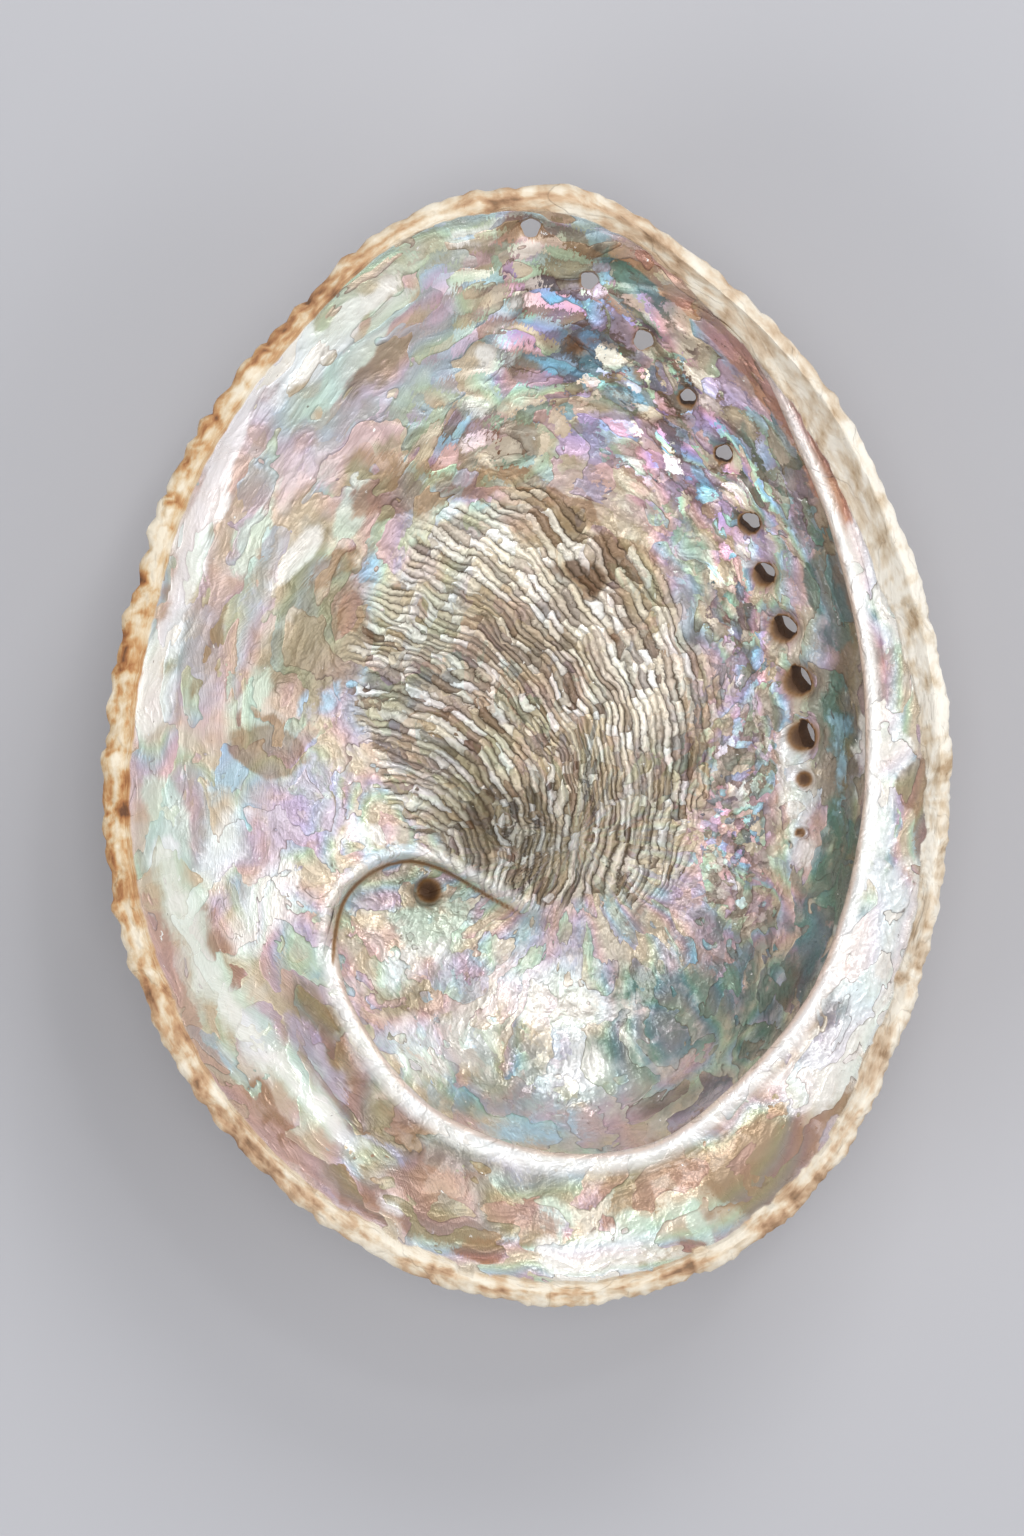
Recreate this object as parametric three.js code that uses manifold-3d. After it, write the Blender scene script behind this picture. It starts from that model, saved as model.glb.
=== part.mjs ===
import * as THREE from 'three';
import { mergeVertices } from 'three/addons/utils/BufferGeometryUtils.js';
import Module from 'manifold-3d';

// Driving dimensions in millimetres and degrees. The shell lies on its back, opening up, head end at +Y.
const rimHeight = [42, 42, 41, 40.5, 41.5, 41.5, 41, 41.5]; // at every 45 degrees, from +X towards +Y
const rimRadius = [
  52.9, 55.1, 59, 64.8, 73.5, 83, 93.2, 92.6, 85.1, 78.9, 72.8, 69.2,
  67.4, 66, 65.3, 65.3, 65.6, 66.5, 66.5, 64.7, 61.8, 57.6, 54, 52.7,
]; // from the hub, at every 15 degrees
const lipRadius = [
  40.5, 42.9, 47.4, 54.2, 64, 77.1, 80, 73, 62, 52, 44, 38,
  35, 35.9, 39.4, 41.5, 43.8, 44.7, 45.3, 45, 42.3, 40.7, 40, 39.6,
]; // inner edge of the shelf, and on the left a guide line down the open slope
const lipHeight = [37, 37.5, 39, 32, 15, 24.5, 34.5, 36.5]; // at every 45 degrees
const lipStrength = [1, 1, 1, 1, 0.8, 0.25, 0, 0, 0, 0, 0, 0, 0, 0.1, 1, 1, 1, 1, 1, 1, 1, 1, 1, 1];
const lipUndercut = [2.4, 2.4, 1.5, 0, 1, 3, 6.5, 4.5]; // how far the bowl runs back under the lip
const lipSection = [[0.2, -2.8], [-0.3, -1.1], [0.9, 0], [2.6, -0.8]]; // out from its edge, up from its top
const bulge = [2.2, 2.1, 1.95, 1.85, 1.85, 2.1, 3, 2.7]; // power of the back's curve, at every 45 degrees
const shoulder = [1.3, 1.15, 1, 1, 1, 1.15, 1.6, 1.5]; // how steeply the back meets the rim
const hub = new THREE.Vector2(7, -13.5); // deepest part of the bowl, where the rays meet
const apex = new THREE.Vector2(-14.7, -21.2); // tip of the spire, where the spiral starts
const spiralPitch = 0.45; // growth in the logarithm of the radius for each radian of turn
const wallThickness = 4.8;
const wallPower = 2.5; // how late the inside climbs to the lip
const rimWidth = 2.6;
const rimWave = 0.4;
const rimBevel = 1.4;
const backFlat = 2.2; // how much of the curved back is worn level
const spireDepth = 4.4;
const spireReach = 11;
const backCords = 20; // broad ridges in a turn of the back
const backCordHeight = 0.5;
const underLipDrop = 7;
const wallReach = 18; // how far in from the lip the wall starts to rise
const shelfTrough = [1.2, 1, 0.6, 0, 0.4, 1.4, 2.4, 1.7]; // at every 45 degrees
const scarCentre = new THREE.Vector2(2, 5);
const scarRadius = [27, 27, 33, 32, 28, 26.5, 31.5, 31]; // at every 45 degrees
const scarRise = 0.9;
const scarEdge = [0.8, 1.08]; // shares of the radius between which it dies away
const scarCords = 40; // spiral ridges in a turn, a whole number once multiplied by the pitch
const cordHeight = 0.45;
const cordReach = 30; // ridges fade nearer the apex than this
const curlLine = [
  [-28.6, -34], [-28.4, -28], [-27.4, -23.2], [-25.2, -19.9], [-21.6, -17.4], [-17.4, -16.4], [-13, -17.4],
  [-8.8, -19.6], [-3.8, -22.6], [3, -26], [10.5, -28.6], [18, -26.5], [27, -16.3],
]; // edge of the raised floor, from the curl of the lip to the scar's lower end
const curlStep = [0.5, 2.6, 3.4, 3.6, 3.6, 3.6, 3.4, 2.8, 1.8, 0.9, 0.6, 0.4, 0]; // half the step at those points
const curlReach = [10, 13]; // how far the step fades on its sunken side and on its raised side
const curlWidth = 1.2;
const floorFade = [0.72, 0.95]; // shares of the rim's radius where the floor's own shape ends
const pitRadius = 2.6;
const pitDepth = 2.4;
const plateRelief = 0.35;
// Respiratory pores: place of the opening, its radius, and how far its channel leans outwards
const pores = [
  { at: [0.5, 74.4], radius: 1.4, lean: 0 },
  { at: [8.9, 67.2], radius: 1.3, lean: 0 },
  { at: [16.7, 58.8], radius: 1.4, lean: 0 },
  { at: [23.2, 50.4], radius: 1.2, lean: 14 },
  { at: [28.4, 42.4], radius: 1.25, lean: 10 },
  { at: [32.3, 32.4], radius: 1.5, lean: 20 },
  { at: [34.4, 25], radius: 1.6, lean: 30 },
  { at: [37.3, 17.2], radius: 1.85, lean: 33 },
  { at: [39.4, 9.5], radius: 2.05, lean: 41 },
  { at: [40.1, 1.5], radius: 2.05, lean: 44 },
];
const closedPores = [
  { at: [40.4, -4.8], radius: 1.1, lean: 26 },
  { at: [39.8, -12.6], radius: 0.7, lean: 26 },
];
const channelTop = 8; // ends of a channel's cut, above and below the inside of the bowl
const channelBottom = -14;
const funnelFlare = 0.7; // extra radius of a pore where it opens inside the bowl
const funnelTop = 0.8;
const funnelDepth = 1.6; // of the wide mouth, for each millimetre of the radius
const tubercleWall = 1.5;
const tubercleHeight = 1.3;
const tubercleTaper = 0.75;
const tubercleRoot = 1; // how deep it is set in the back
const exitStep = 0.1;
const poreSides = 8;
const rays = 96;
const floorRings = 20;
const shelfRings = 3;
const backRings = 11;
const rimLobes = rays / 2;
const slopeStep = 1.2; // between the rings that stand in for the lip on the open slope
const floorSpacing = 0.85; // powers that crowd the rings towards the lip and the rim
const backSpacing = 0.8;

const { clamp, degToRad, euclideanModulo, lerp, smoothstep } = THREE.MathUtils;

// Smooth value at an angle, from values spaced evenly around a full turn
function around(values, angle) {
  const count = values.length;
  const place = euclideanModulo(angle / (2 * Math.PI), 1) * count;
  const i = Math.floor(place);
  const t = place - i;
  const [a, b, c, d] = [-1, 0, 1, 2].map((step) => values[(i + step + count) % count]);
  return b + 0.5 * t * (c - a + t * (2 * a - 5 * b + 4 * c - d + t * (3 * (b - c) + d - a)));
}

// Height of the curved back at a share of the way from the hub to the rim, worn level at the bottom
function curvedBack(share, angle) {
  const curve = 1 - (1 - clamp(share, 0, 1) ** around(bulge, angle)) ** (1 / around(shoulder, angle));
  const height = curve * (around(rimHeight, angle) + backFlat) - backFlat;
  return (height + Math.hypot(height, 0.6)) / 2;
}

// Place and distance of a point in the spiral about the apex
function spiralPlace(x, y) {
  const radius = Math.hypot(x - apex.x, y - apex.y) + 0.01;
  const turn = Math.atan2(y - apex.y, x - apex.x);
  return { radius, phase: Math.log(radius) - spiralPitch * turn };
}

// How fully the lip stands up at an angle, from 0 on the open slope to 1
function lipFullness(angle) {
  return clamp(around(lipStrength, angle), 0, 1);
}

// Signed distance from the curl line, positive on its raised side, with the step's height there
const curlCurve = new THREE.CatmullRomCurve3(
  curlLine.map(([x, y], i) => new THREE.Vector3(x, y, curlStep[i])), false, 'centripetal');
const curlPoints = curlCurve.getPoints(120);
function curlEdge(x, y) {
  let nearest = 0;
  let best = Infinity;
  curlPoints.forEach((point, i) => {
    const distance = Math.hypot(x - point.x, y - point.y);
    if (distance < best) {
      best = distance;
      nearest = clamp(i, 1, curlPoints.length - 2);
    }
  });
  const before = curlPoints[nearest - 1];
  const after = curlPoints[nearest + 1];
  const side = (after.x - before.x) * (y - before.y) - (after.y - before.y) * (x - before.x);
  return { distance: Math.sign(side) * best, step: curlPoints[nearest].z };
}

// Raised floor on one side of the curl line, sunken floor on the other, both fading away from it
function curlHeight(x, y) {
  const { distance, step } = curlEdge(x, y);
  const fade = Math.exp(-((distance / curlReach[distance > 0 ? 1 : 0]) ** 2));
  return step * fade * Math.tanh(distance / curlWidth);
}

// Rough oval where the muscle held on, with ridges that follow the spiral
function scarHeight(x, y) {
  const angle = Math.atan2(y - scarCentre.y, x - scarCentre.x);
  const share = Math.hypot(x - scarCentre.x, y - scarCentre.y) / around(scarRadius, angle);
  const inside = 1 - smoothstep(share, ...scarEdge);
  const { radius, phase } = spiralPlace(x, y);
  const ridges = cordHeight * smoothstep(radius, 8, cordReach) * Math.cos(scarCords * phase);
  return inside * (scarRise + ridges);
}

// Low uneven plates of nacre, longer along the rim than across it
function plateHeight(share, angle) {
  return plateRelief * smoothstep(share, 0.3, 0.6) * Math.sin(share * 26 + 2 * Math.sin(5 * angle) + 3 * angle);
}

// Height of the bowl's inside, all but the lip and the shelf
function floorHeight(radius, angle) {
  const x = hub.x + radius * Math.cos(angle);
  const y = hub.y + radius * Math.sin(angle);
  const share = radius / (around(rimRadius, angle) - rimWidth);
  const pit = pitDepth * Math.exp(-((Math.hypot(x - apex.x, y - apex.y) / pitRadius) ** 2));
  const base = curvedBack(share, angle) + wallThickness * (1 - share);
  const uneven = (curlHeight(x, y) - pit) * (1 - smoothstep(share, ...floorFade));
  return base + uneven + scarHeight(x, y) + plateHeight(share, angle);
}

// Inside of the bowl with its wall rising to the lip
function bowlHeight(radius, angle) {
  const strength = lipFullness(angle);
  const edge = around(lipRadius, angle) + around(lipUndercut, angle) * strength;
  const share = edge / (around(rimRadius, angle) - rimWidth);
  const wallTop = around(lipHeight, angle) - underLipDrop;
  const atEdge = curvedBack(share, angle) + wallThickness * (1 - share);
  const climb = clamp(1 - (edge - radius) / wallReach, 0, 1) ** wallPower;
  return floorHeight(radius, angle) + strength * Math.max(wallTop - atEdge, 0) * climb;
}

// One ray's section from the hub, out over the floor, lip, shelf and rim and back under to the hub
function sectionPoints(angle) {
  const strength = lipFullness(angle);
  const rim = around(rimRadius, angle) + rimWave * Math.cos(rimLobes * angle);
  const inner = rim - rimWidth;
  const lip = around(lipRadius, angle);
  const top = around(lipHeight, angle);
  const edge = lip + around(lipUndercut, angle) * strength;
  const points = [];
  for (let i = 1; i <= floorRings; i++) {
    const radius = edge * (i / floorRings) ** floorSpacing;
    points.push([radius, bowlHeight(radius, angle)]);
  }
  lipSection.forEach(([out, up], i) => {
    const radius = lip + lerp(slopeStep * (i + 1), out, strength);
    points.push([radius, lerp(floorHeight(radius, angle), top + up, strength)]);
  });
  const [shelfStart, shelfDrop] = lipSection.at(-1);
  for (let i = 1; i <= shelfRings; i++) {
    const share = i / (shelfRings + 1);
    const radius = lerp(lip + shelfStart, inner, share);
    const level = lerp(top + shelfDrop, around(rimHeight, angle), share);
    const shelf = level - around(shelfTrough, angle) * Math.sin(Math.PI * share);
    points.push([radius, lerp(floorHeight(radius, angle), shelf, strength)]);
  }
  points.push([inner, around(rimHeight, angle)]);
  points.push([rim, around(rimHeight, angle) - rimBevel]);
  for (let i = 1; i <= backRings; i++) {
    const share = (1 - i / (backRings + 1)) ** backSpacing;
    points.push([share * rim, backHeight(share, angle)]);
  }
  return points;
}

// Outside of the back, with the low spire standing out of it
function backHeight(share, angle) {
  const radius = share * around(rimRadius, angle);
  const x = hub.x + radius * Math.cos(angle);
  const y = hub.y + radius * Math.sin(angle);
  const fromApex = Math.hypot(x - apex.x, y - apex.y);
  const spire = spireDepth * Math.exp(-((fromApex / spireReach) ** 2));
  const { phase } = spiralPlace(x, y);
  const cords = backCordHeight * smoothstep(share, 0.25, 0.5) * Math.cos(backCords * phase);
  return Math.max(curvedBack(share, angle) - spire - cords * (1 - share ** 4), 0);
}

// Closed skin of the shell from all its ray sections, with one point at each end
function shellGeometry() {
  const rings = sectionPoints(0).length;
  const positions = [hub.x, hub.y, bowlHeight(0.001, 0)];
  for (let ray = 0; ray < rays; ray++) {
    const angle = (ray / rays) * 2 * Math.PI;
    sectionPoints(angle).forEach(([radius, height]) => {
      positions.push(hub.x + radius * Math.cos(angle), hub.y + radius * Math.sin(angle), height);
    });
  }
  positions.push(hub.x, hub.y, backHeight(0, 0));
  const last = positions.length / 3 - 1;
  const index = [];
  for (let ray = 0; ray < rays; ray++) {
    const here = 1 + ray * rings;
    const next = 1 + ((ray + 1) % rays) * rings;
    index.push(0, here, next);
    for (let ring = 0; ring < rings - 1; ring++) {
      index.push(here + ring, here + ring + 1, next + ring + 1);
      index.push(here + ring, next + ring + 1, next + ring);
    }
    index.push(here + rings - 1, last, next + rings - 1);
  }
  const geometry = new THREE.BufferGeometry();
  geometry.setAttribute('position', new THREE.Float32BufferAttribute(positions, 3));
  geometry.setIndex(index);
  return geometry;
}

const wasm = await Module();
wasm.setup();

// Manifold solid from a closed geometry
function solidOf(geometry) {
  geometry.deleteAttribute('normal');
  geometry.deleteAttribute('uv');
  const merged = mergeVertices(geometry, 1e-4);
  return new wasm.Manifold(new wasm.Mesh({
    numProp: 3,
    vertProperties: merged.attributes.position.array,
    triVerts: new Uint32Array(merged.index.array),
  }));
}

// Tapered rod along Z between two heights
function uprightRod(topRadius, bottomRadius, top, bottom) {
  const rod = new THREE.CylinderGeometry(topRadius, bottomRadius, top - bottom, poreSides);
  rod.rotateX(Math.PI / 2);
  rod.translate(0, 0, (top + bottom) / 2);
  return rod;
}

// Rod along a pore's channel, its ends given as heights above the inside of the bowl, leaning outwards
// as a stack of level circles slides
function channelRod({ at: [x, y], lean }, topRadius, bottomRadius, top, bottom) {
  const outwards = Math.atan2(y - hub.y, x - hub.x);
  const surface = bowlHeight(Math.hypot(x - hub.x, y - hub.y), outwards);
  const rod = uprightRod(topRadius, bottomRadius, top, bottom);
  rod.applyMatrix4(new THREE.Matrix4().makeShear(0, 0, 0, 0, -Math.tan(degToRad(lean)), 0));
  rod.rotateZ(outwards);
  rod.translate(x, y, surface);
  return solidOf(rod);
}

// Distance from the hub at which a pore's leaning channel comes out of the back
function channelExit({ at: [x, y], lean }, angle) {
  const slope = Math.tan(degToRad(lean));
  const rim = around(rimRadius, angle);
  let radius = Math.hypot(x - hub.x, y - hub.y);
  let height = bowlHeight(radius, angle);
  while (height > backHeight(radius / rim, angle)) {
    height -= exitStep;
    radius += exitStep * slope;
  }
  return radius;
}

// Raised cone on the outside of the back where a pore's channel comes out, square to the surface
function tubercleRod(pore) {
  const angle = Math.atan2(pore.at[1] - hub.y, pore.at[0] - hub.x);
  const rim = around(rimRadius, angle);
  const radius = channelExit(pore, angle);
  const surface = backHeight(radius / rim, angle);
  const rise = backHeight((radius + 1) / rim, angle) - surface;
  const root = pore.radius + tubercleWall;
  const rod = uprightRod(root, root * tubercleTaper, tubercleRoot, -tubercleHeight);
  rod.rotateY(-Math.atan(rise));
  rod.rotateZ(angle);
  rod.translate(hub.x + radius * Math.cos(angle), hub.y + radius * Math.sin(angle), surface);
  return solidOf(rod);
}

// Shell with a raised tubercle outside each open pore and the channel cut through both
function pierced(shell) {
  let solid = shell;
  pores.forEach((pore) => {
    solid = solid.add(tubercleRod(pore));
  });
  pores.forEach((pore) => {
    solid = solid.subtract(channelRod(pore, pore.radius, pore.radius, channelTop, channelBottom));
  });
  [...pores, ...closedPores].forEach((pore) => {
    const mouth = pore.radius + funnelFlare;
    const bottom = -pore.radius * funnelDepth;
    solid = solid.subtract(channelRod(pore, mouth, pore.radius, funnelTop, bottom));
  });
  return solid;
}

function shellMesh() {
  const { vertProperties, triVerts } = pierced(solidOf(shellGeometry())).getMesh();
  const geometry = new THREE.BufferGeometry();
  geometry.setAttribute('position', new THREE.BufferAttribute(new Float32Array(vertProperties), 3));
  geometry.setIndex(new THREE.BufferAttribute(new Uint32Array(triVerts), 1));
  geometry.computeBoundingBox();
  const { min, max } = geometry.boundingBox;
  geometry.translate(-(min.x + max.x) / 2, -(min.y + max.y) / 2, -min.z);
  geometry.computeVertexNormals();
  const material = new THREE.MeshStandardMaterial({ color: 0xcfc4b4, roughness: 0.35, metalness: 0.1 });
  const mesh = new THREE.Mesh(geometry, material);
  mesh.name = 'shell';
  return mesh;
}

const group = new THREE.Group();
group.add(shellMesh());

export default group;
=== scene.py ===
import math

import bpy
import numpy as np
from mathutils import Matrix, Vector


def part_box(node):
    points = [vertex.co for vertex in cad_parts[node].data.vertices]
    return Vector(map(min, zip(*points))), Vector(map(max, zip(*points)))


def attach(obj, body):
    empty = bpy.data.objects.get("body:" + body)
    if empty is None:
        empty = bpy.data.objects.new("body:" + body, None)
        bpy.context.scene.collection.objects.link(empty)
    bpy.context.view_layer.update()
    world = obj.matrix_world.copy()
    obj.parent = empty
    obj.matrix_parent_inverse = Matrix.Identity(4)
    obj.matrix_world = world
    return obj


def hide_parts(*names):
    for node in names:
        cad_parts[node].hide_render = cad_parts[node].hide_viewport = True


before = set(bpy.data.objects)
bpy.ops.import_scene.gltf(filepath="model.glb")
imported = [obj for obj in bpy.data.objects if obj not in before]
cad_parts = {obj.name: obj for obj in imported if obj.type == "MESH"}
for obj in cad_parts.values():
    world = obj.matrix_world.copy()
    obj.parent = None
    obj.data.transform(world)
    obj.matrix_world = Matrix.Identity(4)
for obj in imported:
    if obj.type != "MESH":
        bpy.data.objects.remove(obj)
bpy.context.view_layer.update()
boxLow, boxHigh = (np.array(corner, float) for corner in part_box("shell"))

# Photograph: its frame in pixels, the middle of the shell in it, and the shell's length there
photo = {"size": (1024, 1536), "middle": (526.5, 745.5), "length": 1123, "shellLength": 160.0}
mmPerPixel = photo["shellLength"] / photo["length"]


def at(px, py):
    # A pixel of the photograph as millimetres in the shell's frame, X right and Y up
    return (px - photo["middle"][0]) * mmPerPixel, (photo["middle"][1] - py) * mmPerPixel


# Small tools: smooth steps, values around the turn, and seeded noise
def smooth(x, low, high):
    # 3t^2 - 2t^3, where t is the clipped share of the way from low to high
    t = np.clip((x - low) / (high - low), 0, 1)
    return t * t * (3 - 2 * t)


def mix(a, b, share):
    # Straight mix: a at share 0 and b at share 1
    return a + (b - a) * share


def bell(distance, width, power=2):
    # exp(-(distance / width) ^ power): 1 in the middle, dying away past the width
    return np.exp(-(distance / width) ** power)


def between(a, b, c, d, t):
    # Catmull-Rom cubic: the value at share t of the way from b to c, with a before and d after them
    return b + 0.5 * t * (c - a + t * (2 * a - 5 * b + 4 * c - d + t * (3 * (b - c) + d - a)))


def around(values, angle):
    # Smooth curve through values spaced evenly around the turn, closed on itself
    values = np.asarray(values, float)
    place = np.mod(angle / (2 * np.pi), 1) * len(values)
    i = np.floor(place).astype(int)
    t = place - i
    a, b, c, d = (values[(i + step) % len(values)] for step in (-1, 0, 1, 2))
    return between(a, b, c, d, t)


def lattice(x, y, z, seed):
    # Value noise from 0 to 1: random heights on a cubic lattice, blended smoothly between its corners
    table = np.random.default_rng(seed).random((32, 32, 32))
    cell = [np.floor(v).astype(int) for v in (x, y, z)]
    part = [v - c for v, c in zip((x, y, z), cell)]
    part = [p * p * p * (p * (6 * p - 15) + 10) for p in part]
    total = 0
    for corner in range(8):
        bits = [(corner >> k) & 1 for k in range(3)]
        weight = 1
        for bit, p in zip(bits, part):
            weight = weight * (p if bit else 1 - p)
        total = total + weight * table[tuple((c + bit) % 32 for c, bit in zip(cell, bits))]
    return total


def noise(points, size, seed, layers=3):
    # Sum of lattice noises, each half the size and height of the last and turned against it, from -1 to 1
    x, y, z = (points[..., k] / size for k in range(3))
    total, height = 0, 0
    for layer in range(layers):
        total = total + (lattice(x, y, z, seed + layer) * 2 - 1) * 0.5 ** layer
        height += 0.5 ** layer
        x, y, z = 2 * (0.8 * x + 0.6 * y) + 3.7, 2 * (0.8 * y - 0.6 * x) + 1.3, 2 * z + 5.1
    return total / height


# Body of the shell in millimetres, as the part's source has it, with finer relief
body = {
    "rimHeight": [42, 42, 41, 40.5, 41.5, 41.5, 41, 41.5],
    "rimRadius": [52.9, 55.1, 59, 64.8, 73.5, 83, 93.2, 92.6, 85.1, 78.9, 72.8, 69.2,
                  67.4, 66, 65.3, 65.3, 65.6, 66.5, 66.5, 64.7, 61.8, 57.6, 54, 52.7],
    "rimWidth": [1.7, 1.9, 2.2, 3.1, 3.2, 2.8, 2.1, 1.7],
    "lipRadius": [40.5, 42.9, 47.4, 54.2, 64, 77.1, 80, 73, 62, 52, 44, 38,
                  35, 35.9, 39.4, 41.5, 43.8, 44.7, 45.3, 45, 42.3, 40.7, 40, 39.6],
    "lipHeight": [37, 37.5, 39, 32, 15, 24.5, 34.5, 36.5],
    "lipStrength": [1, 1, 1, 1, 0.8, 0.25, 0, 0, 0, 0, 0, 0, 0.2, 1, 1, 1, 1, 1, 1, 1, 1, 1, 1, 1],
    "lipUndercut": [2.4, 2.4, 1.5, 0, 1, 3, 6.5, 4.5],
    "bulge": [2.2, 2.1, 1.95, 1.85, 1.85, 2.1, 3, 2.7],
    "shoulder": [1.3, 1.15, 1, 1, 1, 1.15, 1.6, 1.5],
    "hub": (7.0, -13.5),
    "apex": (-14.7, -21.2),
    "spiralPitch": 0.45,
    "wallThickness": 4.8,
    "backFlat": 2.2,
    "spireDepth": 4.4,
    "spireReach": 11.0,
    "underLipDrop": 7.0,
    "wallReach": 18.0,
    "lipFlank": [1, 1, 1, 0.6, 0.1, 0.2, 0.8, 1],  # how far the shelf drops just outside the lip
    "shelfTrough": [1.2, 1.0, 0.6, 0, 0.4, 1.4, 2.4, 1.7],
    "crustWidth": [3.2, 4.8, 6.3, 3.8, 2.2, 2.2, 2.2, 2.9, 3.5, 3.2, 3.4, 3.4],  # seen from above
    "crustBrown": [0.15, 0.1, 0.2, 0.6, 0.9, 1, 1, 0.75, 0.6, 0.7, 0.6, 0.35],
    "rimSection": [(0, -0.05), (0.18, -0.1), (0.4, 0.25), (0.65, 0.5), (0.88, 0.9), (1, 1.5), (0.98, 2.2)],
    "rays": 544,
    "floorRings": 96,
    "shelfRings": 16,
    "backRings": 42,
}
hubX, hubY = body["hub"]
apexX, apexY = body["apex"]


def curvedBack(share, angle):
    # Superellipse bowl: 1 - (1 - share^bulge)^(1/shoulder) of the rim's height, worn level at the bottom
    curve = 1 - np.clip(share, 0, 1) ** around(body["bulge"], angle)
    curve = 1 - curve ** (1 / around(body["shoulder"], angle))
    height = curve * (around(body["rimHeight"], angle) + body["backFlat"]) - body["backFlat"]
    return (height + np.hypot(height, 0.6)) / 2


def lipStrength(angle):
    # How fully the lip stands up, from the table, dying away quickly where the curl takes over
    turn = np.degrees(np.mod(angle, 2 * np.pi))
    fade = np.where((turn > 120) & (turn < 260), smooth(turn, 192, 207), 1)
    return np.clip(around(body["lipStrength"], angle), 0, 1) * fade


def fromHub(radius, angle):
    # The point at this distance from the hub, in this direction
    return hubX + radius * np.cos(angle), hubY + radius * np.sin(angle)


def spiralPlace(x, y):
    # Distance from the apex, and the logarithmic spiral's coordinate ln(r) - pitch * turn
    radius = np.hypot(x - apexX, y - apexY) + 0.01
    return radius, np.log(radius) - body["spiralPitch"] * np.arctan2(y - apexY, x - apexX)


# Curl of the lip round the spire, running on as the lower edge of the muscle scar
curl = {
    "line": [(-28.6, -34), (-28.4, -28), (-27.4, -23.2), (-25.2, -19.9), (-21.6, -17.4), (-17.4, -16.4),
             (-13, -17.4), (-8.8, -19.6), (-3.8, -22.6), (3, -26), (10.5, -28.6), (18, -26.5), (27, -16.3)],
    "step": [0.5, 2.6, 3.4, 3.6, 3.6, 3.6, 3.4, 2.8, 1.8, 0.9, 0.6, 0.4, 0],
    "reach": (10, 13),
    "width": 0.45,
    "softWidth": 3.0,
    "bead": 1.2,
}


def finePath(points, count=40):
    # Catmull-Rom curve through open points, as an array of closely spaced places
    p = np.asarray(points, float)
    p = np.vstack([2 * p[0] - p[1], p, 2 * p[-1] - p[-2]])
    t = np.linspace(0, 1, count, endpoint=False)[:, None]
    runs = [between(*four, t) for four in zip(p, p[1:], p[2:], p[3:])]
    return np.vstack(runs + [p[-2:-1]])


def besidePath(x, y, path):
    # Signed distance of every point from a path, positive on its left, with the nearest place's number
    flat = np.stack([np.ravel(x), np.ravel(y)], 1)
    best = np.full(len(flat), np.inf)
    nearest = np.zeros(len(flat), int)
    for i, place in enumerate(path[:, :2]):
        away = np.hypot(flat[:, 0] - place[0], flat[:, 1] - place[1])
        closer = away < best
        best[closer] = away[closer]
        nearest[closer] = i
    inner = np.clip(nearest, 1, len(path) - 2)
    before, after = path[inner - 1], path[inner + 1]
    side = (after[:, 0] - before[:, 0]) * (flat[:, 1] - before[:, 1]) \
        - (after[:, 1] - before[:, 1]) * (flat[:, 0] - before[:, 0])
    shape = np.shape(x)
    return (np.sign(side) * best).reshape(shape), nearest.reshape(shape)


def awayFrom(x, y, pixels, count=12):
    # Signed distance of every point from the curve through these pixels of the photograph
    return besidePath(x, y, finePath([at(*pixel) for pixel in pixels], count))[0]


curlPath = finePath([(px, py, step) for (px, py), step in zip(curl["line"], curl["step"])], 14)


def curlHeight(x, y):
    # Raised floor on one side of the curl and sunken floor on the other, both fading as exp(-d^2)
    away, nearest = besidePath(x, y, curlPath)
    step = curlPath[nearest, 2]
    reach = np.where(away > 0, curl["reach"][1], curl["reach"][0])
    bead = curl["bead"] * bell(away - 1.1, 1.2) * smooth(step, 0.4, 1.8)
    width = mix(curl["softWidth"], curl["width"], smooth(step, 0.9, 2.6))
    return step * bell(away, reach) * np.tanh(away / width) + bead


scar = {
    "centre": (2, 5),
    "radius": [27, 27, 33, 32, 28, 26.5, 31.5, 31],
    "rise": 0.9,
    "cords": 80,  # ridges in a turn of the spiral; times the pitch, a whole number
    "cordHeight": 0.24,
    "wander": 1.0,
}


def scarShare(x, y):
    # 0 at the middle of the muscle scar and 1 at its edge
    dx, dy = x - scar["centre"][0], y - scar["centre"][1]
    return np.hypot(dx, dy) / around(scar["radius"], np.arctan2(dy, dx))


def scarMask(x, y, places):
    # 1 on the scar and 0 off it, with a ragged edge: the share from middle to edge plus noise
    return 1 - smooth(scarShare(x, y) + 0.12 * noise(places, 6, 41), 0.8, 1.08)


def scarHeight(x, y, places):
    # Raised rough oval; its ridges are cos(cords * spiral coordinate), wandering by noise
    radius, phase = spiralPlace(x, y)
    wander = scar["wander"] * noise(places, 6, 43)
    ridge = np.cos(scar["cords"] * phase + wander)
    beads = 0.6 + 0.4 * noise(places, 2.2, 47, 2)
    cords = scar["cordHeight"] * smooth(radius, 8, 26) * ridge * beads
    return scarMask(x, y, places) * (scar["rise"] + cords)


# Breathing pores, from the newest: pixel of the recess, open radius in mm, lean outwards in degrees
pores = {
    "open": [((530, 223), 1.38, 0), ((589, 274), 1.28, 0), ((644, 333), 1.42, 0), ((689, 392), 1.2, 14),
             ((726, 448), 1.25, 10), ((753, 518), 1.5, 20), ((768, 570), 1.6, 30), ((788, 625), 1.85, 33),
             ((803, 679), 2.05, 41), ((808, 735), 2.05, 44)],
    "closed": [((810, 779), 1.1, 26), ((806, 834), 0.7, 26)],
    "funnel": 0.9,
    "tubercle": 1.5,
    "sides": 28,
    "depths": (-6, 14),  # ends of the cutting rods, down from the bowl's surface
}
allPores = pores["open"] + pores["closed"]


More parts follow.
